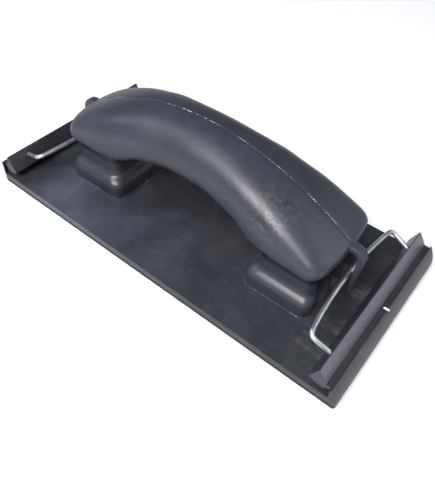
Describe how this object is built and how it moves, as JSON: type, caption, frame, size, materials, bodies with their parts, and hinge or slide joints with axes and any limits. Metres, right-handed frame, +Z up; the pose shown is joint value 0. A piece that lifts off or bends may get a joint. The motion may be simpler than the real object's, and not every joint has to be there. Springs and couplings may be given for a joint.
{
  "type": "sanding block",
  "caption": "Hand sanding block with an arched hollow grip on feet, a flat rubber-soled base plate and a sprung clamp jaw with a wire bail and hook at each end.",
  "frame": {"origin": "centre of the sole's lower face, under the middle of the block", "axes": "+X along the block to the right end, +Y across it to the far side, +Z up"},
  "size_m": [0.23, 0.1064, 0.0682],
  "materials": {
    "grip_plastic": "satin dark grey moulding",
    "base_plastic": "satin dark grey moulding, lightly scuffed",
    "jaw_plastic": "fine matt dark grey moulding",
    "sole_rubber": "matt foam rubber",
    "bail_wire": "bright galvanised drawn wire",
    "screw_steel": "zinc plated"
  },
  "bodies": {
    "block": {"sole_pad": "sole_rubber", "base_plate": "base_plastic", "grip_half_near": "grip_plastic", "grip_half_far": "grip_plastic", "foot_left": "base_plastic", "bail_hook_left": "grip_plastic", "grip_screw_left_1": "screw_steel", "grip_screw_left_2": "screw_steel", "foot_right": "base_plastic", "bail_hook_right": "grip_plastic", "grip_screw_right_1": "screw_steel", "grip_screw_right_2": "screw_steel"},
    "clamp_left": {"clamp_jaw_left": "jaw_plastic", "wire_bail_left": "bail_wire"},
    "clamp_right": {"clamp_jaw_right": "jaw_plastic", "wire_bail_right": "bail_wire"}
  },
  "joints": [
    {"name": "clamp_left_hinge", "type": "hinge", "parent": "block", "child": "clamp_left", "pos_m": [-0.1087, 0, 0.0123], "axis": [0, 1, 0], "range_deg": [0, 25], "stiffness_Nm_per_rad": 0.4, "springref_deg": -5.73},
    {"name": "clamp_right_hinge", "type": "hinge", "parent": "block", "child": "clamp_right", "pos_m": [0.1087, 0, 0.0123], "axis": [0, -1, 0], "range_deg": [0, 27], "stiffness_Nm_per_rad": 0.4, "springref_deg": -5.73}
  ]
}
